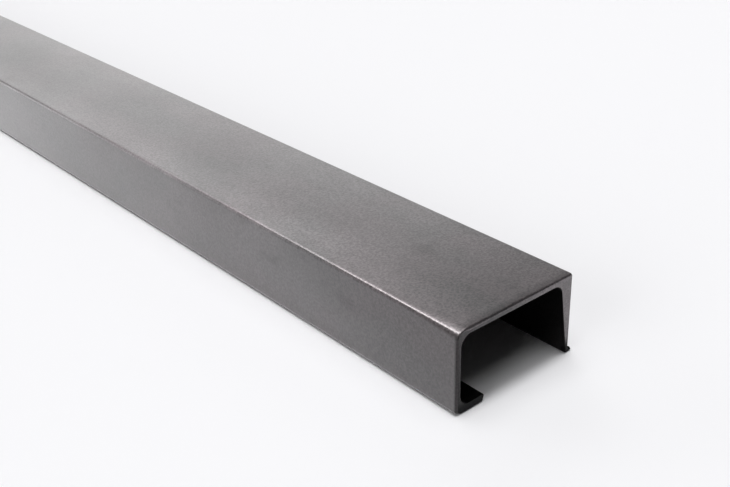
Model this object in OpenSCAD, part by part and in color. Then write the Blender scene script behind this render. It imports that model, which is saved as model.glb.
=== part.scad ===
// Aluminium channel extrusion, cut to length. It lies with its web up, on the lip of its straight
// leg and on the foot of its tapered leg. The section is in X and Z, and the stock runs along Y.

/* [Stock] */
// Length of the cut piece
stock_l = 1000; // [50:10:6000]

/* [Section] */
// Width across the outer faces of the two legs
section_w = 40; // [30:0.5:80]
// Height from the floor to the top of the web
section_h = 23; // [14:0.5:50]
// Thickness of the web
web_t = 1.6; // [1:0.1:4]
// Thickness of the straight leg
straight_leg_t = 1.3; // [1:0.1:4]

/* [Lip] */
// Reach of the lip from the outer face of the straight leg, over its round tip
lip_reach = 9.3; // [6:0.1:16]
// Thickness of the lip
lip_t = 2.2; // [1:0.1:4]

/* [Tapered leg] */
// Thickness of the tapered leg where it leaves the web
taper_root_t = 4.1; // [1.5:0.1:7]
// Thickness of the tapered leg at the floor
taper_toe_t = 0.9; // [0.4:0.1:4]
// Reach of the foot beyond the outer face of the tapered leg
foot_reach = 1.4; // [1:0.1:6]
// Thickness of the foot
foot_t = 1; // [0.6:0.1:2]

/* [Corner radii] */
// Outside corner between the web and the straight leg
ridge_r = 1.2; // [0.6:0.1:3]
// Outside corner between the web and the tapered leg
back_r = 0.5; // [0.2:0.1:2]
// Outside corner between the straight leg and the lip
heel_r = 0.5; // [0.2:0.1:2]
// Inside corners of the channel
inside_r = 3; // [0.5:0.1:5]
// Outside corner between the tapered leg and its foot
foot_fillet_r = 0.3; // [0.1:0.1:0.8]

/* [Cut ends] */
// Bevel that breaks the outside edges of both cut ends
edge_break = 0.45; // [0.1:0.05:0.8]

/* [Hidden] */
$fn = 64;

gunmetal = [0.43, 0.425, 0.415];

// The lip and the foot end in a full round
lip_tip_r = lip_t / 2;
foot_tip_r = foot_t / 2;

// The round of an inside corner is cut this much larger, so that it meets both walls cleanly
fillet_bite = 1.0002;

// How far a bevel cutter stands out of the surface that it cuts
cutter_over = edge_break / 2;
// An edge with less straight run than this is all round, as at the tip of the foot
least_run = edge_break / 100;

// Sharp corners of the section, anticlockwise from the toe of the tapered leg, each [x, z, radius]
corners = [
    [section_w - taper_toe_t, 0, 0],
    [section_w + foot_reach, 0, foot_tip_r],
    [section_w + foot_reach, foot_t, foot_tip_r],
    [section_w, foot_t, foot_fillet_r],
    [section_w, section_h, back_r],
    [0, section_h, ridge_r],
    [0, 0, heel_r],
    [lip_reach, 0, lip_tip_r],
    [lip_reach, lip_t, lip_tip_r],
    [straight_leg_t, lip_t, inside_r],
    [straight_leg_t, section_h - web_t, inside_r],
    [section_w - taper_root_t, section_h - web_t, inside_r]
];
corner_count = len(corners);

// The corners from the toe to the tip of the lip are the outside of the section
last_outside = 7;

function point(i) = let(c = corners[i % corner_count]) [c[0], c[1]];
function radius(i) = corners[i % corner_count][2];
function unit(v) = v / norm(v);

// Direction of the edge that leaves corner i, and of the edge that reaches it
function leaving(i) = unit(point(i + 1) - point(i));
function reaching(i) = leaving(i + corner_count - 1);
function heading(v) = atan2(v[1], v[0]);

// A corner of the solid turns left on the way round, and a corner of the hollow turns right
function is_solid(i) = cross(reaching(i), leaving(i)) > 0;
function half_angle(i) = acos(-reaching(i) * leaving(i)) / 2;

// Distance from a sharp corner to where its round starts, and the way to the centre of that round
function setback(i) = radius(i) / tan(half_angle(i));
function to_centre(i) = unit(leaving(i) - reaching(i)) * radius(i) / sin(half_angle(i));

// What lies between a sharp corner of the solid and its round
module corner_web(i) {
    translate(point(i))
        difference() {
            polygon([[0, 0], leaving(i) * setback(i), to_centre(i), -reaching(i) * setback(i)]);
            translate(to_centre(i)) circle(r = radius(i));
        }
}

// The hollow beside an inside corner, whose round bites into the walls that it joins
module corner_hollow(i) {
    translate(point(i) + to_centre(i)) circle(r = radius(i) * fillet_bite);
}

// An inside corner starts as a flat across it, which its hollow then rounds
function blank(i) =
    is_solid(i) ? [point(i)] : [point(i) - reaching(i) * setback(i), point(i) + leaving(i) * setback(i)];

module section() {
    all = [0 : corner_count - 1];
    difference() {
        polygon([for (i = all) each blank(i)]);
        for (i = all)
            if (!is_solid(i)) corner_hollow(i);
            else if (radius(i) > 0) corner_web(i);
    }
}

// Straight part of the edge that leaves corner i: the first edge is cut from before the toe, and
// the last one on past the tip of the lip
function run_in(i) = i == 0 ? edge_break : -setback(i);
function run_out(i) = i + 1 == last_outside ? cutter_over : -setback(i + 1);
function straight_run(i) = run_in(i) + norm(point(i + 1) - point(i)) + run_out(i);

// Cutter for the bevel along the edge that leaves corner i, at the end where z is 0
module edge_bevel(i) {
    depth = edge_break + cutter_over;
    translate(point(i) - leaving(i) * run_in(i))
        rotate([90, 0, heading(leaving(i)) + 90])
            linear_extrude(straight_run(i))
                polygon([[depth, -cutter_over], [-cutter_over, depth], [-cutter_over, -cutter_over]]);
}

// Cutter for the bevel round an outside corner of the solid
module corner_bevel(i) {
    r = radius(i);
    inner = max(0, r - edge_break - cutter_over);
    outer = r + cutter_over;
    start = heading(reaching(i)) - 90;
    translate(point(i) + to_centre(i))
        rotate(start)
            rotate_extrude(angle = 180 - 2 * half_angle(i))
                polygon([
                    [inner, -cutter_over],
                    [outer, -cutter_over],
                    [outer, edge_break + cutter_over],
                    [inner, max(-cutter_over, inner + edge_break - r)]
                ]);
}

// Cutter for the bevel round the fillet at the root of the foot
module fillet_bevel(i) {
    r = radius(i);
    inner = max(0, r - cutter_over);
    start = heading(leaving(i)) + 90;
    translate(point(i) + to_centre(i))
        rotate(start)
            rotate_extrude(angle = 180 - 2 * half_angle(i))
                polygon([
                    [inner, -cutter_over],
                    [r + edge_break + cutter_over, -cutter_over],
                    [inner, r + edge_break - inner]
                ]);
}

module end_bevels() {
    for (i = [0 : last_outside - 1])
        if (straight_run(i) > least_run) edge_bevel(i);
    for (i = [1 : last_outside - 1])
        if (is_solid(i)) corner_bevel(i);
        else fillet_bevel(i);
}

module channel_profile() {
    color(gunmetal)
        translate([-(section_w + foot_reach) / 2, 0, 0])
            rotate([90, 0, 0])
                difference() {
                    linear_extrude(stock_l, center = true) section();
                    for (end = [0, 1])
                        mirror([0, 0, end])
                            translate([0, 0, -stock_l / 2]) end_bevels();
                }
}

channel_profile();
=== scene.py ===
"""One cut length of anodised aluminium channel, dressed for pictures and laid out as a Blender add-on."""

import math
from collections import namedtuple

import bmesh
import bpy
from bpy.props import FloatProperty, FloatVectorProperty, IntProperty, PointerProperty
from mathutils import Matrix, Vector
from mathutils.geometry import delaunay_2d_cdt


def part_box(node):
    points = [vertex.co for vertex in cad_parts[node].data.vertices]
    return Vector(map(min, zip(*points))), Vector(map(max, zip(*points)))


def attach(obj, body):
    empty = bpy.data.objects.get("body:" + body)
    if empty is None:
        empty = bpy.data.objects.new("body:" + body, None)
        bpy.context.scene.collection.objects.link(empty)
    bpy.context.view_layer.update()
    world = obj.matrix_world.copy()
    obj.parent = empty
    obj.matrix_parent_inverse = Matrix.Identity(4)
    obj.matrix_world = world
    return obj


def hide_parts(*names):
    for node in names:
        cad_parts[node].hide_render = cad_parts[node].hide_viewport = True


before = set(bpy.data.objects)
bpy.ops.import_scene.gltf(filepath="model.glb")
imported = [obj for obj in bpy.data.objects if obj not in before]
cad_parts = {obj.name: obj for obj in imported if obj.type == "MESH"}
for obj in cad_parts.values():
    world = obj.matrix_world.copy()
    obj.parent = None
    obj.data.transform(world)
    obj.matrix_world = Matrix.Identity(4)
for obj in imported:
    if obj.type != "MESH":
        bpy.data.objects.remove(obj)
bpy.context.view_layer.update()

bl_info = {
    "name": "Channel Profile",
    "version": (1, 0, 0),
    "blender": (4, 5, 0),
    "location": "View3D > Sidebar > Channel Profile",
    "description": "Makes a cut length of anodised aluminium channel and the table it lies on",
    "category": "Add Mesh",
}

NODE = "channel_profile"
SLOT = "anodised_aluminium"
MM = 0.001
box_low, box_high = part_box(NODE)

# Mesh of the channel
SUPPORT = 0.05 * MM  # a straight gets a point this far beside each round that it meets
LEAST_STEP = SUPPORT * 0.2  # a point that is less far on than this is left out of the outline
RIM = 0.03 * MM  # width of the plain strips on both sides of a rounded cut edge
LEAST_STEPS = 4  # faces of the shallowest round of the section
ROUND_STEPS = 7  # faces over a rounded cut edge
RUB_STEPS = 8  # rings in the rubbed length at each end
RUB_ROOM = 4 * MM  # the rub of the ridge fades out within this distance from it
EASE_FADE = 2.8 * MM  # the easing of the web fades out over this height of the leg
EASE_POWER = 2.5  # how gently that easing starts
SHARP_ANGLE = math.radians(50.0)  # an edge that turns more than this is shaded sharp
INSIDE_ONLY = 1  # kind of filling that keeps to the inside of an outline
SAME_POINT = 1e-6  # points of a cut face closer than this, in millimetres, count as one

# Cut edge along the web beside the ridge: distance from the ridge in millimetres, then depth and
# inset of the rounding as multiples of the edge break
WEB_EDGE = ((4.0, 1.4, 1.4), (3.2, 1.2, 1.2), (2.6, 1.0, 1.0), (2.0, 0.8, 0.8), (1.5, 0.8, 0.7))

# Table, room and camera
TABLE_REACH = 60.0  # metres from the middle of the round table to its edge
TABLE_SIDES = 96
TABLE_GAP = 0.02 * MM  # the table lies this far under the stock
FLECKS_PER_METRE = 40.0
LAMPS = ("key", "soft", "fill", "rim", "glow")
CHANNEL_LAMPS = ("rim", "glow")  # these light the channel alone
# A bright part of the room starts and is full at these cosines of the angle from its middle
BRIGHT_FADE = (0.91, 0.995)
WINDOW_FADE = (0.9, 0.985)
SENSOR_WIDTH = 36.0  # millimetres
CLIP_START, CLIP_END = 0.01, 200.0  # metres

Corner = namedtuple("Corner", "x z radius depth inset outside")
OutlinePoint = namedtuple("OutlinePoint", "place normal depth inset outside")


def length(label, text, default_mm):
    """A length that a user may change, given in millimetres and kept in metres."""
    return FloatProperty(
        name=label, description=text, default=default_mm * MM, min=0.0,
        subtype="DISTANCE", unit="LENGTH", precision=5,
    )


def share(label, text, default):
    """A number from 0 to 1 that a user may change."""
    return FloatProperty(name=label, description=text, default=default, min=0.0, max=1.0, subtype="FACTOR")


def amount(label, text, default, low=0.0):
    """A plain number that a user may change."""
    return FloatProperty(name=label, description=text, default=default, min=low)


def colour(label, text, default):
    """A colour that a user may change, in linear light."""
    return FloatVectorProperty(
        name=label, description=text, default=default, min=0.0, max=1.0, size=3, subtype="COLOR"
    )


def turn(label, text, default_deg):
    """An angle that a user may change, given in degrees and kept in radians."""
    return FloatProperty(
        name=label, description=text, default=math.radians(default_deg), subtype="ANGLE", unit="ROTATION"
    )


class ProfileSizes(bpy.types.PropertyGroup):
    """Walls, corners and cut ends of the channel. Its width, height and length are the frame's."""

    web_t: length("Web", "Thickness of the web", 1.6)
    straight_leg_t: length("Straight leg", "Thickness of the straight leg", 1.3)
    lip_reach: length("Lip reach", "Reach of the lip from the outer face of the straight leg", 9.3)
    lip_t: length("Lip", "Thickness of the lip", 2.2)
    lip_tip_r: length("Lip tip radius", "Upper corner at the tip of the lip", 0.3)
    lip_toe_r: length("Lip toe radius", "Lower corner at the tip of the lip", 0.7)
    taper_root_t: length("Tapered leg root", "Thickness of the tapered leg at the web", 4.1)
    taper_toe_t: length("Tapered leg toe", "Thickness of the tapered leg at the floor", 0.9)
    foot_reach: length("Foot reach", "Reach of the foot beyond the tapered leg", 1.4)
    foot_t: length("Foot", "Thickness of the foot", 1.0)
    ridge_r: length("Ridge radius", "Outside corner between the web and the straight leg", 0.9)
    end_ridge_r: length("Ridge radius at an end", "Radius that the ridge is rubbed to at a cut end", 1.5)
    ridge_ease: length("Ridge ease", "How far from the ridge the web starts to ease down to it", 1.7)
    end_ease: length("End ease", "How much further out that easing starts at a cut end", 3.0)
    end_rub: length("End rub", "How far from a cut end the ridge is rubbed rounder", 20.0)
    ease_slope: turn("Ease slope", "Steepest slope of the easing", 20.0)
    back_r: length("Back radius", "Outside corner between the web and the tapered leg", 0.5)
    heel_r: length("Heel radius", "Outside corner between the straight leg and the lip", 1.3)
    inside_r: length("Inside radius", "Inside corners of the channel", 3.0)
    foot_fillet_r: length("Foot fillet", "Corner between the tapered leg and its foot", 0.3)
    toe_r: length("Toe radius", "Inner edge of the tapered leg at the floor", 0.35)
    edge_break: length("Edge break", "How far the outside edges of a cut end are rounded over", 0.45)
    inner_break: length("Inner edge break", "How far the inside edges of a cut end are rounded over", 0.07)
    corner_steps: IntProperty(
        name="Corner steps", description="Faces round a quarter turn of a corner", default=20, min=4, max=64
    )
    stock_steps: IntProperty(
        name="Stock steps", description="Faces along the length of the stock", default=24, min=1, max=200
    )


class AnodisedFinish(bpy.types.PropertyGroup):
    """Colour and texture of the sandblasted and anodised surface, and the light and shade painted on it."""

    warm_grey: colour("Warm grey", "Colour of the metal where it is warmest", (0.0710, 0.0602, 0.0634))
    cool_grey: colour("Cool grey", "Colour of the metal where it is coolest", (0.0649, 0.0592, 0.0611))
    roughness: share("Roughness", "Roughness of the blasted metal", 0.42)
    film_roughness: share("Film roughness", "Roughness of the clear oxide film over the metal", 0.29)
    film_ior: amount("Film IOR", "Index of refraction of the oxide film", 1.58, 1.0)
    film_cover: share("Film cover", "How much of the metal the film covers", 0.85)
    thin_film: share("Thin film", "What is left of that cover where the film is thinnest", 0.86)
    bloom: share("Bloom", "How much the blasted surface lightens when seen along it", 1.0)
    bloom_roughness: share("Bloom roughness", "How widely that lightening spreads", 0.33)
    grain_size: length("Grain", "Size of the blasted grain", 0.6)
    grain_depth: length("Grain depth", "Depth of the blasted grain", 0.05)
    grain_contrast: share("Grain contrast", "How much the grain lightens and darkens the metal", 0.4)
    cloud_size: length("Clouds", "Size of the uneven patches in the film", 24.0)
    smudge_dark: share("Smudges", "How much darker the smudges are", 0.2)
    line_pitch: length("Die lines", "Spacing of the faint lines along the stock", 1.1)
    line_depth: share("Line depth", "Depth of those lines as a share of the grain's", 0.35)
    saw_pitch: length("Saw marks", "Spacing of the marks on a cut end", 0.35)
    saw_depth: share("Saw depth", "Depth of those marks as a share of the grain's", 0.8)
    # Painted shade on the broken edges of a cut end
    edge_painted_shade: share("Cut edges", "How much darker the broken edges of a cut end are", 0.55)
    # Painted light on the web beside its edges
    web_edge_painted_light: share("Web edge light", "How much painted light lightens the web beside its edges", 0.4)
    # Painted light on the heel
    heel_painted_light: amount("Heel light", "How much painted light lightens the heel", 1.4)
    # Painted shade in the hollow
    hollow_shade: share("Hollow", "How much painted shade darkens the hollow of the channel", 0.85)
    # Grey of the near-black shader that paints shade
    shade_grey: share("Shade grey", "Grey of the near-black shader that paints shade", 0.006)


class StudioStage(bpy.types.PropertyGroup):
    """The white table, the light and the camera."""

    table_white: colour("Table", "Colour of the table top", (0.926, 0.924, 0.943))
    key_strength: amount("Key light", "Strength of the lamp overhead", 1.22)
    key_spread: turn("Key spread", "Width of the lamp overhead as seen from the table", 12.0)
    key_azimuth: turn("Key azimuth", "Turn of the lamp overhead from the stock's run, to the right", -90.0)
    key_elevation: turn("Key elevation", "Height of the lamp overhead above the table", 90.0)
    soft_strength: amount("Soft light", "Strength of the wide lamp overhead", 1.36)
    soft_spread: turn("Soft spread", "Width of the wide lamp as seen from the table", 52.0)
    soft_azimuth: turn("Soft azimuth", "Turn of the wide lamp from the stock's run, to the right", -100.0)
    soft_elevation: turn("Soft elevation", "Height of the wide lamp above the table", 89.0)
    fill_strength: amount("Fill light", "Strength of the low lamp", 0.85)
    fill_spread: turn("Fill spread", "Width of the low lamp as seen from the table", 40.0)
    fill_azimuth: turn("Fill azimuth", "Turn of the low lamp from the stock's run, to the right", -90.0)
    fill_elevation: turn("Fill elevation", "Height of the low lamp above the table", 20.0)
    rim_strength: amount("Rim light", "Strength of the lamp behind", 1.5)
    rim_spread: turn("Rim spread", "Width of the lamp behind as seen from the table", 16.0)
    rim_azimuth: turn("Rim azimuth", "Turn of the lamp behind from the stock's run, to the right", -28.9)
    rim_elevation: turn("Rim elevation", "Height of the lamp behind above the table", 50.5)
    glow_strength: amount("Glow light", "Strength of the lamp over the far side", 1.4)
    glow_spread: turn("Glow spread", "Width of the lamp over the far side as seen from the table", 44.0)
    glow_azimuth: turn("Glow azimuth", "Turn of the lamp over the far side from the stock's run", 10.0)
    glow_elevation: turn("Glow elevation", "Height of the lamp over the far side above the table", 58.5)
    bright_side: amount("Bright side", "Light from behind the stock", 1.40)
    dim_side: amount("Dim side", "Light from the camera's side", 0.035)
    bright_azimuth: turn("Bright azimuth", "Middle of the bright side, from the stock's run", 30.0)
    bright_elevation: turn("Bright elevation", "Height of the bright side above the table", 23.5)
    window_light: amount("Window", "Light added by a window behind", 2.8)
    window_azimuth: turn("Window azimuth", "Middle of the window, from the stock's run", -24.0)
    window_elevation: turn("Window elevation", "Height of the window above the table", 2.0)
    camera_lens: amount("Lens", "Focal length in millimetres on a sensor 36 mm wide", 51.94, 1.0)
    camera_from_ridge: FloatVectorProperty(
        name="Camera place", description="From the near end of the ridge", size=3, subtype="TRANSLATION",
        unit="LENGTH", default=(-142.513 * MM, -138.385 * MM, 126.790 * MM),
    )
    camera_yaw: turn("Camera yaw", "Turn from the stock's run, to the right", 40.0799)
    camera_pitch: turn("Camera pitch", "Tilt below the horizon", 27.6410)
    camera_roll: turn("Camera roll", "Turn about the view", -1.6822)


class Field:
    """An output of a node that takes part in Python arithmetic, as a number over the surface."""

    def __init__(self, tree, output):
        self.tree = tree
        self.output = output

    @staticmethod
    def node(tree, kind, settings=None, inputs=None, out=0):
        """Adds a node, sets its settings, then fills its inputs with values or links."""
        made = tree.nodes.new(kind)
        for name, value in (settings or {}).items():
            setattr(made, name, value)
        for name, value in (inputs or {}).items():
            if isinstance(value, Field):
                tree.links.new(value.output, made.inputs[name])
            else:
                made.inputs[name].default_value = value
        return Field(tree, made.outputs[out]) if made.outputs else None

    def math(self, operation, *values):
        """Adds a Math node on numbers or fields."""
        inputs = dict(enumerate(values))
        return Field.node(self.tree, "ShaderNodeMath", {"operation": operation}, inputs)

    def __add__(self, other):
        return self.math("ADD", self, other)

    def __radd__(self, other):
        return self.math("ADD", other, self)

    def __sub__(self, other):
        return self.math("SUBTRACT", self, other)

    def __rsub__(self, other):
        return self.math("SUBTRACT", other, self)

    def __mul__(self, other):
        return self.math("MULTIPLY", self, other)

    def __rmul__(self, other):
        return self.math("MULTIPLY", other, self)

    def __truediv__(self, other):
        return self.math("DIVIDE", self, other)

    def __abs__(self):
        return self.math("ABSOLUTE", self)

    def ramp(self, low, high, to_low=0.0, to_high=1.0):
        """Smoothly carries low..high of this number to to_low..to_high."""
        inputs = {"Value": self, "From Min": low, "From Max": high, "To Min": to_low, "To Max": to_high}
        return Field.node(self.tree, "ShaderNodeMapRange", {"interpolation_type": "SMOOTHSTEP"}, inputs)


def blend(factor, first, second, mode="MIX"):
    """Mixes two colours, where the factor or a colour varies over the surface."""
    tree = next(value.tree for value in (factor, first, second) if isinstance(value, Field))
    settings = {"data_type": "RGBA", "blend_type": mode}
    return Field.node(tree, "ShaderNodeMix", settings, {0: factor, 6: first, 7: second}, 2)


def stretched(vector, scale):
    """A copy of the surface's place with each axis scaled."""
    return Field.node(vector.tree, "ShaderNodeVectorMath", {"operation": "MULTIPLY"}, {0: vector, 1: scale})


def noise(vector, scale, detail, rough):
    """A cloudy pattern with scale patches to the metre, and finer ones in it."""
    inputs = {"Vector": vector, "Scale": scale, "Detail": detail, "Roughness": rough}
    return Field.node(vector.tree, "ShaderNodeTexNoise", {}, inputs)


def grey(level):
    """A grey as a colour socket takes it."""
    return (level, level, level, 1.0)


def new_material(name):
    """A material without nodes, and its tree."""
    material = bpy.data.materials.new(name)
    material.use_nodes = True
    material.node_tree.nodes.clear()
    return material, material.node_tree


def anodised_aluminium(finish):
    """Sandblasted aluminium under a dark grey anodised film, with saw marks on the cut ends, and painted
    light and shade.
    """
    material, tree = new_material(SLOT)
    place = Field.node(tree, "ShaderNodeTexCoord", out="Object")
    split = {"Vector": place}
    x, y, z = (Field.node(tree, "ShaderNodeSeparateXYZ", {}, split, axis) for axis in "XYZ")

    # Where a point lies: in millimetres from each side, and as shares of the width and the height
    from_left = (x - box_low.x) / MM
    from_right = (box_high.x - x) / MM
    from_floor = (z - box_low.z) / MM
    from_top = (box_high.z - z) / MM
    from_end = (box_high.y - abs(y)) / MM
    across = (x - box_low.x) / (box_high.x - box_low.x)
    up = (z - box_low.z) / (box_high.z - box_low.z)

    # Patterns: blasted grain, patches in the film and their tint, die lines, smudges and saw marks
    grain = noise(place, 1 / finish.grain_size, 3.0, 0.65)
    clouds = noise(stretched(place, (1.0, 0.55, 1.0)), 1 / finish.cloud_size, 3.0, 0.55)
    tint = noise(stretched(place, (1.0, 0.6, 1.0)), 1.7 / finish.cloud_size, 1.0, 0.5)
    lines = noise(stretched(place, (1.0, 0.003, 1.0)), 1 / finish.line_pitch, 2.0, 0.6)
    smudge = noise(stretched(place, (1.0, 0.8, 1.0)), 2.6 / finish.cloud_size, 2.0, 0.6).ramp(0.6, 0.78)
    saw = noise(stretched(place, (0.06, 1.0, 1.0)), 1 / finish.saw_pitch, 2.0, 0.7)

    # Which surface a point is on: a cut face, the web, the straight leg or the hollow
    cut = from_end.ramp(0.01, 0.02, 1.0, 0.0)
    uncut = 1 - cut
    web = from_top.ramp(0.6, 1.4, 1.0, 0.0) * uncut
    leg = from_left.ramp(0.2, 0.6, 1.0, 0.0) * (1 - web)
    inside = from_left.ramp(1.2, 1.25) * from_right.ramp(1.85, 1.9)
    inside = inside * from_top.ramp(1.55, 1.58) * from_floor.ramp(0.3, 0.35) * uncut

    # Painted light and shade: light on the web beside its edges and on the heel, shade on the broken edges
    # of a cut end
    # Painted light: the web is lighter beside the ridge and beside the back edge, in place of reflections it
    # does not catch
    lit_web_edges = (across.ramp(0.05, 0.4, 1.0, 0.0) + across.ramp(0.5, 0.95, 0.0, 0.8)) * web
    # Painted light on the heel, where it would reflect the white table; it turns to a little painted shade
    # close to a cut end
    heel = up.ramp(0.0, 0.09, 1.0, 0.0) * from_left.ramp(0.5, 1.2, 1.0, 0.0)
    heel = heel * from_end.ramp(0.6, 2.4, -0.4, 1.0) * uncut
    beside_ridge = from_left.ramp(0.4, 4.0, 1.0, 0.0) * web
    # Painted shade on the rounded edges of a cut end and on the web close to it, for the dark surroundings
    # they would reflect; the ridge's end is left out
    crisp_edge = from_end.ramp(0.4, 1.1, 1.0, 0.0) * uncut * (1 - web)
    soft_edge = from_end.ramp(0.8, 3.2, 0.6, 0.0) * from_end.ramp(0.4, 0.7, -1.0, 1.0)
    broken = crisp_edge + soft_edge * web * (1 - beside_ridge)

    # Painted shade on a cut face: it darkens toward the straight leg and toward the floor
    toward_back = across * 0.75 + up * 0.25
    low = up.ramp(0.05, 0.16, 0.1, 1.0)
    low = low * (1 - across.ramp(0.8, 0.9) * up.ramp(0.12, 0.25, 0.85, 0.0))
    cut_painted_shade = toward_back.ramp(0.05, 0.3, 0.12, 0.42) * toward_back.ramp(0.45, 0.82, 1.0, 3.6) * low

    # Painted shade, as a near-black shader mixed in: in the hollow, low on a cut face, under the lip's end
    # and at the foot's end
    under_lip = up.ramp(0.01, 0.05, 1.0, 0.0) * from_end.ramp(0.6, 1.2, 1.0, 0.0)
    under_lip = under_lip * across.ramp(0.02, 0.04) * across.ramp(0.3, 0.5, 1.0, 0.0)
    foot_end = up.ramp(0.05, 0.1, 1.0, 0.0) * from_end.ramp(0.8, 1.5, 0.9, 0.0)
    foot_end = foot_end * across.ramp(0.93, 0.95) * uncut
    shade_mix = inside * finish.hollow_shade + cut * up.ramp(0.07, 0.16, 0.92, 0.0) + under_lip + foot_end

    # The grain shows a little more on the web and less on the straight leg
    grit = grain.ramp(0.25, 0.75, -1.0, 1.0) * (1 + web * 0.18 - leg * 0.25)
    smudged = 1 - smudge * finish.smudge_dark
    edged = 1 - broken * finish.edge_painted_shade

    # Colour of the metal, then how light each place on it is
    film = blend(tint.ramp(0.35, 0.65), (*finish.warm_grey, 1.0), (*finish.cool_grey, 1.0))
    shade = clouds.ramp(0.3, 0.7, 0.87, 1.13) * lines.ramp(0.25, 0.75, 0.975, 1.025)
    shade = shade * (1 + grit * finish.grain_contrast) * smudged
    # Saw marks and painted shade on the broken edges, then painted shade on a cut face
    shade = shade * (1 - cut * saw.ramp(0.3, 0.7, 0.16, -0.06)) * edged
    shade = shade * (1 + cut * (cut_painted_shade - 1))
    # Painted light on the web beside its edges and on the heel
    shade = shade * (1 + lit_web_edges * finish.web_edge_painted_light + heel * finish.heel_painted_light)
    levels = {"Red": shade, "Green": shade, "Blue": shade}
    base = blend(1.0, film, Field.node(tree, "ShaderNodeCombineColor", {}, levels), "MULTIPLY")

    # Patches and grain vary the roughness a little, and the film covers a cut face less
    roughness = finish.roughness + (clouds + grain - 1) * 0.06 - smudge * 0.03 + cut * 0.05
    cover = finish.film_cover + grit * (1 - finish.film_cover)
    # The film covers a cut face less still where it has painted shade
    cover = cover * (1 - cut * (1 - toward_back.ramp(0.05, 0.45, 0.1, 1.0) * low))
    # The film's cover drops with the painted shade on the broken edges and rises with the painted light on
    # the web
    cover = cover * edged * smudged * clouds.ramp(0.3, 0.7, finish.thin_film, 1.0)
    cover = cover * (finish.thin_film + (lit_web_edges + leg) * (1 - finish.thin_film))
    height = grain + (lines - 0.5) * finish.line_depth + cut * (saw - 0.5) * finish.saw_depth
    relief = {"Strength": 1.0, "Distance": finish.grain_depth, "Height": height}
    bump = Field.node(tree, "ShaderNodeBump", {}, relief)

    metal = {"Metallic": 1.0, "Roughness": roughness, "Normal": bump}
    coated = Field.node(tree, "ShaderNodeBsdfPrincipled", {}, {
        **metal, "Base Color": base, "Coat Weight": cover, "Coat Roughness": finish.film_roughness,
        "Coat IOR": finish.film_ior, "Sheen Weight": finish.bloom, "Sheen Roughness": finish.bloom_roughness,
    })
    # Near-black shader for painted shade
    shade_shader = Field.node(tree, "ShaderNodeBsdfPrincipled", {}, {**metal, "Base Color": grey(finish.shade_grey)})
    surface = Field.node(tree, "ShaderNodeMixShader", {}, {0: shade_mix, 1: coated, 2: shade_shader})
    Field.node(tree, "ShaderNodeOutputMaterial", {}, {"Surface": surface})
    return material


def table_top(stage):
    """Matt white board."""
    material, tree = new_material("table_top")
    place = Field.node(tree, "ShaderNodeTexCoord", out="Object")
    fleck = noise(place, FLECKS_PER_METRE, 2.0, 0.5).ramp(0.2, 0.8, 0.99, 1.0)
    board = blend(fleck, grey(0.9), (*stage.table_white, 1.0))
    matt = {"Base Color": board, "Roughness": 0.9, "Specular IOR Level": 0.0}
    shader = Field.node(tree, "ShaderNodeBsdfPrincipled", {}, matt)
    Field.node(tree, "ShaderNodeOutputMaterial", {}, {"Surface": shader})
    return material


def section_corners(sizes):
    """Sharp corners of the section, anticlockwise from the toe of the tapered leg.

    Depth and inset are those of the rounded cut edge there. A corner without a radius is a place on a
    straight where that rounding changes.
    """
    left, right = box_low.x, box_high.x - sizes.foot_reach
    floor, top = box_low.z, box_high.z
    foot_top = floor + sizes.foot_t
    foot_tip = sizes.foot_t / 2
    lip_end, lip_top = left + sizes.lip_reach, floor + sizes.lip_t
    leg_inner, under_web = left + sizes.straight_leg_t, top - sizes.web_t
    outer, inner = sizes.edge_break, sizes.inner_break
    outside = [
        (right - sizes.taper_toe_t, floor, sizes.toe_r, outer * 1.2, sizes.toe_r * 0.8),
        (box_high.x, floor, foot_tip, outer * 1.6, foot_tip * 0.85),
        (box_high.x, foot_top, foot_tip, outer * 1.6, foot_tip * 0.85),
        (right, foot_top, sizes.foot_fillet_r, outer, outer * 0.6),
        (right, top, sizes.back_r, outer * 1.4, sizes.back_r * 0.85),
        *((left + gap * MM, top, 0.0, outer * depth, outer * inset) for gap, depth, inset in WEB_EDGE),
        (left, top, sizes.ridge_r, outer * 0.8, outer * 0.6),
        (left, top - RUB_ROOM, 0.0, outer * 0.9, outer),
        (left, floor, sizes.heel_r, outer * 1.2, outer),
        (lip_end, floor, sizes.lip_toe_r, outer * 1.2, outer * 1.2),
    ]
    hollow = [
        (lip_end, lip_top, sizes.lip_tip_r),
        (leg_inner, lip_top, sizes.inside_r),
        (leg_inner, under_web, sizes.inside_r),
        (right - sizes.taper_root_t, under_web, sizes.inside_r),
    ]
    return [Corner(*row, True) for row in outside] + [Corner(*row, inner, inner, False) for row in hollow]


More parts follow.
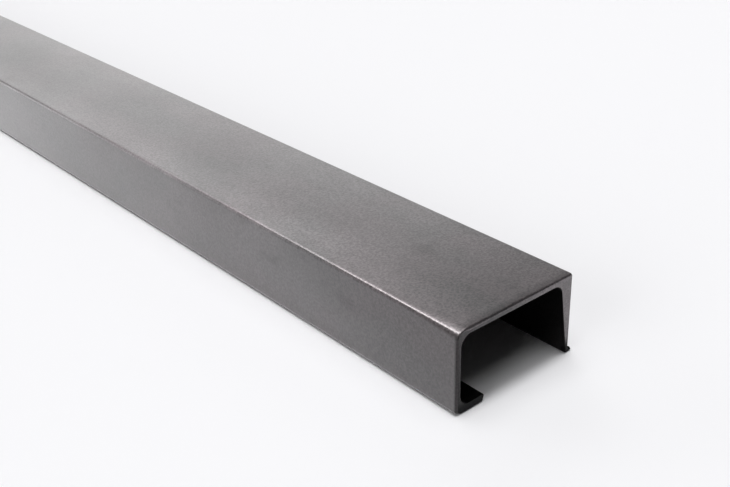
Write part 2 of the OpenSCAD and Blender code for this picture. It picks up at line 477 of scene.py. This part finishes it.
def section_outline(sizes):
    """Points round the section, with a round at each corner and a point on the straights beside it."""
    corners = section_corners(sizes)
    points = []
    for i, corner in enumerate(corners):
        ahead = corners[(i + 1) % len(corners)]
        here = Vector((corner.x, corner.z))
        way_in = (here - Vector((corners[i - 1].x, corners[i - 1].z))).normalized()
        way_out = (Vector((ahead.x, ahead.z)) - here).normalized()
        angle = math.atan2(way_in.x * way_out.y - way_in.y * way_out.x, way_in.dot(way_out))
        setback = corner.radius * math.tan(abs(angle) / 2)
        normal_in = Vector((way_in.y, -way_in.x))
        normal_out = Vector((way_out.y, -way_out.x))
        start = here - way_in * setback
        side = math.copysign(1.0, angle)
        centre = start - normal_in * corner.radius * side
        steps = max(LEAST_STEPS, math.ceil(sizes.corner_steps * abs(angle) / (math.pi / 2)))
        edge = (corner.depth, corner.inset, corner.outside)
        points.append(OutlinePoint(start - way_in * SUPPORT, normal_in, *edge))
        for step in range(steps + 1):
            turned = angle * step / steps
            c, s = math.cos(turned), math.sin(turned)
            normal = Vector((normal_in.x * c - normal_in.y * s, normal_in.x * s + normal_in.y * c))
            points.append(OutlinePoint(centre + normal * corner.radius * side, normal, *edge))
        points.append(OutlinePoint(here + way_out * (setback + SUPPORT), normal_out, *edge))
    return without_folds(points)


def without_folds(points):
    """Drops the points that run back over their neighbours, as where two rounds meet."""
    kept = []
    for i, point in enumerate(points):
        ahead = points[(i + 1) % len(points)]
        tangent = Vector((-point.normal.y, point.normal.x))
        clear_ahead = (ahead.place - point.place).dot(tangent) > LEAST_STEP
        clear_behind = not kept or (point.place - kept[-1].place).dot(tangent) > LEAST_STEP
        if clear_ahead and clear_behind:
            kept.append(point)
    return kept


def rubbed(sizes, place, from_end, outside):
    """Place of a section point once the ridge is rubbed rounder toward a cut end and the web eased to it."""
    rub = max(0.0, 1.0 - from_end / sizes.end_rub) ** 2
    radius = sizes.ridge_r
    growth = (sizes.end_ridge_r - radius) * rub

    def spread(gap):
        """Carries the round's radius to the grown one, and moves nothing beyond the room for it."""
        if gap < radius:
            return gap * (radius + growth) / radius
        return gap + growth * max(0.0, RUB_ROOM - gap) / (RUB_ROOM - radius)

    aside, under = place.x - box_low.x, box_high.z - place.y
    if outside:
        aside, under = spread(aside), spread(under)

    reach = sizes.ridge_ease + sizes.end_ease * rub
    near = max(0.0, 1.0 - aside / reach)
    fade = min(1.0, max(0.0, (RUB_ROOM - under) / EASE_FADE))
    under += math.tan(sizes.ease_slope) * reach * near ** EASE_POWER / EASE_POWER * fade
    return Vector((box_low.x + aside, box_high.z - under))


def end_rings(outline, end, way):
    """Rings from the flat of a cut face, over its rounded edge, to the side walls."""
    rings = [[(p.place - p.normal * (p.inset + RIM), end) for p in outline]]
    for step in range(ROUND_STEPS + 1):
        lift = math.pi / 2 * (1 - step / ROUND_STEPS)
        inward, back = 1 - math.cos(lift), 1 - math.sin(lift)
        rings.append([(p.place - p.normal * p.inset * inward, end + way * p.depth * back) for p in outline])
    rings.append([(p.place, end + way * (p.depth + RIM)) for p in outline])
    return rings


def fill_cut_face(bm, ring):
    """Fills the flat of a cut face with triangles inside its ring of points."""
    flat = [Vector((vert.co.x / MM, vert.co.z / MM)) for vert in ring]
    whole = [list(range(len(ring)))]
    _, _, triangles, came_from, _, _ = delaunay_2d_cdt(flat, [], whole, INSIDE_ONLY, SAME_POINT)
    for triangle in triangles:
        bm.faces.new([ring[came_from[corner][0]] for corner in triangle])


def channel_mesh(sizes):
    """The whole length: rings of section points from one cut face to the other, and both cut faces."""
    outline = section_outline(sizes)
    near, far = box_low.y, box_high.y
    rub_steps = [sizes.end_rub * step / RUB_STEPS for step in range(1, RUB_STEPS + 1)]
    steps = [(far - near) * step / sizes.stock_steps for step in range(1, sizes.stock_steps)]
    steps += rub_steps + [far - near - gap for gap in rub_steps]
    rings = end_rings(outline, near, 1.0)
    rings += [[(p.place, near + along) for p in outline] for along in sorted(steps)]
    rings += reversed(end_rings(outline, far, -1.0))

    bm = bmesh.new()
    made = []
    for ring in rings:
        verts = []
        for point, (place, y) in zip(outline, ring):
            moved = rubbed(sizes, place, min(y - near, far - y), point.outside)
            verts.append(bm.verts.new((moved.x, y, moved.y)))
        made.append(verts)
    for one, two in zip(made, made[1:]):
        for i in range(len(outline)):
            j = (i + 1) % len(outline)
            bm.faces.new((one[i], one[j], two[j], two[i]))
    for ring in (made[0], made[-1]):
        fill_cut_face(bm, ring)
    bmesh.ops.recalc_face_normals(bm, faces=bm.faces)
    for face in bm.faces:
        face.smooth = True
    mesh = bpy.data.meshes.new("channel")
    bm.to_mesh(mesh)
    bm.free()
    mesh.set_sharp_from_angle(angle=SHARP_ANGLE)
    return mesh


class MakeChannel(bpy.types.Operator):
    """Make the cut length of channel in place of the plain solid"""

    bl_idname = "channel_profile.make_channel"
    bl_label = "Make Channel"
    bl_options = {"REGISTER", "UNDO"}

    def execute(self, context):
        sizes = context.scene.profile_sizes
        channel = bpy.data.objects.new("channel", channel_mesh(sizes))
        context.scene.collection.objects.link(channel)
        channel.data.materials.append(anodised_aluminium(context.scene.profile_finish))
        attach(channel, "root")
        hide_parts(NODE)
        return {"FINISHED"}


def direction(azimuth, elevation):
    """Unit vector at a turn from +Y to the right, and a height above the floor."""
    level = math.cos(elevation)
    return Vector((math.sin(azimuth) * level, math.cos(azimuth) * level, math.sin(elevation)))


def studio_world(stage):
    """A room that is bright behind the stock and dim on the camera's side."""
    world = bpy.data.worlds.new("studio")
    world.use_nodes = True
    tree = world.node_tree
    tree.nodes.clear()
    look = Field.node(tree, "ShaderNodeTexCoord", out="Generated")

    def facing(azimuth, elevation):
        """Cosine of the angle between where a ray looks and a direction."""
        inputs = {0: look, 1: direction(azimuth, elevation)}
        return Field.node(tree, "ShaderNodeVectorMath", {"operation": "DOT_PRODUCT"}, inputs, "Value")

    bright = facing(stage.bright_azimuth, stage.bright_elevation)
    window = facing(stage.window_azimuth, stage.window_elevation)
    level = bright.ramp(*BRIGHT_FADE, stage.dim_side, stage.bright_side)
    level = level + window.ramp(*WINDOW_FADE, 0.0, stage.window_light)
    sky = Field.node(tree, "ShaderNodeBackground", {}, {"Color": grey(1.0), "Strength": level})
    Field.node(tree, "ShaderNodeOutputWorld", {}, {"Surface": sky})
    return world


class MakeStage(bpy.types.Operator):
    """Make the white table, the light and the camera"""

    bl_idname = "channel_profile.make_stage"
    bl_label = "Make Stage"
    bl_options = {"REGISTER", "UNDO"}

    def execute(self, context):
        scene = context.scene
        stage = scene.profile_stage
        self.make_table(scene, stage)
        channel_only = bpy.data.collections.new("channel_only")
        channel_only.objects.link(bpy.data.objects["channel"])
        for name in LAMPS:
            lamp = self.make_lamp(scene, stage, name)
            if name in CHANNEL_LAMPS:
                lamp.light_linking.receiver_collection = channel_only
        self.make_camera(scene, stage)
        scene.world = studio_world(stage)
        scene.view_settings.view_transform = "Standard"
        return {"FINISHED"}

    def make_table(self, scene, stage):
        bm = bmesh.new()
        bmesh.ops.create_circle(bm, cap_ends=True, segments=TABLE_SIDES, radius=TABLE_REACH)
        mesh = bpy.data.meshes.new("table")
        bm.to_mesh(mesh)
        bm.free()
        table = bpy.data.objects.new("table", mesh)
        table.location.z = box_low.z - TABLE_GAP
        mesh.materials.append(table_top(stage))
        scene.collection.objects.link(table)

    def make_lamp(self, scene, stage, name):
        strength, spread, azimuth, elevation = (
            getattr(stage, f"{name}_{what}") for what in ("strength", "spread", "azimuth", "elevation")
        )
        data = bpy.data.lights.new(name, "SUN")
        data.energy = strength
        data.angle = spread
        lamp = bpy.data.objects.new(name, data)
        lamp.rotation_mode = "QUATERNION"
        lamp.rotation_quaternion = direction(azimuth, elevation).to_track_quat("Z", "Y")
        scene.collection.objects.link(lamp)
        return lamp

    def make_camera(self, scene, stage):
        data = bpy.data.cameras.new("camera")
        data.sensor_width = SENSOR_WIDTH
        data.lens = stage.camera_lens
        data.clip_start = CLIP_START
        data.clip_end = CLIP_END
        camera = bpy.data.objects.new("camera", data)
        ridge_end = Vector((box_low.x, box_low.y, box_high.z))
        camera.matrix_world = (
            Matrix.Translation(ridge_end + Vector(stage.camera_from_ridge))
            @ Matrix.Rotation(-stage.camera_yaw, 4, "Z")
            @ Matrix.Rotation(math.pi / 2 - stage.camera_pitch, 4, "X")
            @ Matrix.Rotation(stage.camera_roll, 4, "Z")
        )
        scene.collection.objects.link(camera)
        scene.camera = camera


class ChannelPanel(bpy.types.Panel):
    """Sizes, finish and stage of the channel"""

    bl_idname = "VIEW3D_PT_channel_profile"
    bl_label = "Channel Profile"
    bl_space_type = "VIEW_3D"
    bl_region_type = "UI"
    bl_category = "Channel Profile"

    def draw(self, context):
        for group, operator in (
            (context.scene.profile_sizes, None),
            (context.scene.profile_finish, MakeChannel),
            (context.scene.profile_stage, MakeStage),
        ):
            column = self.layout.column(align=True)
            for name in group.__annotations__:
                column.prop(group, name)
            if operator:
                self.layout.operator(operator.bl_idname)


CLASSES = (ProfileSizes, AnodisedFinish, StudioStage, MakeChannel, MakeStage, ChannelPanel)


def register():
    for cls in CLASSES:
        bpy.utils.register_class(cls)
    bpy.types.Scene.profile_sizes = PointerProperty(type=ProfileSizes)
    bpy.types.Scene.profile_finish = PointerProperty(type=AnodisedFinish)
    bpy.types.Scene.profile_stage = PointerProperty(type=StudioStage)


def unregister():
    del bpy.types.Scene.profile_stage
    del bpy.types.Scene.profile_finish
    del bpy.types.Scene.profile_sizes
    for cls in reversed(CLASSES):
        bpy.utils.unregister_class(cls)


def main():
    register()
    bpy.ops.channel_profile.make_channel()
    bpy.ops.channel_profile.make_stage()


if __name__ == "__main__":
    main()
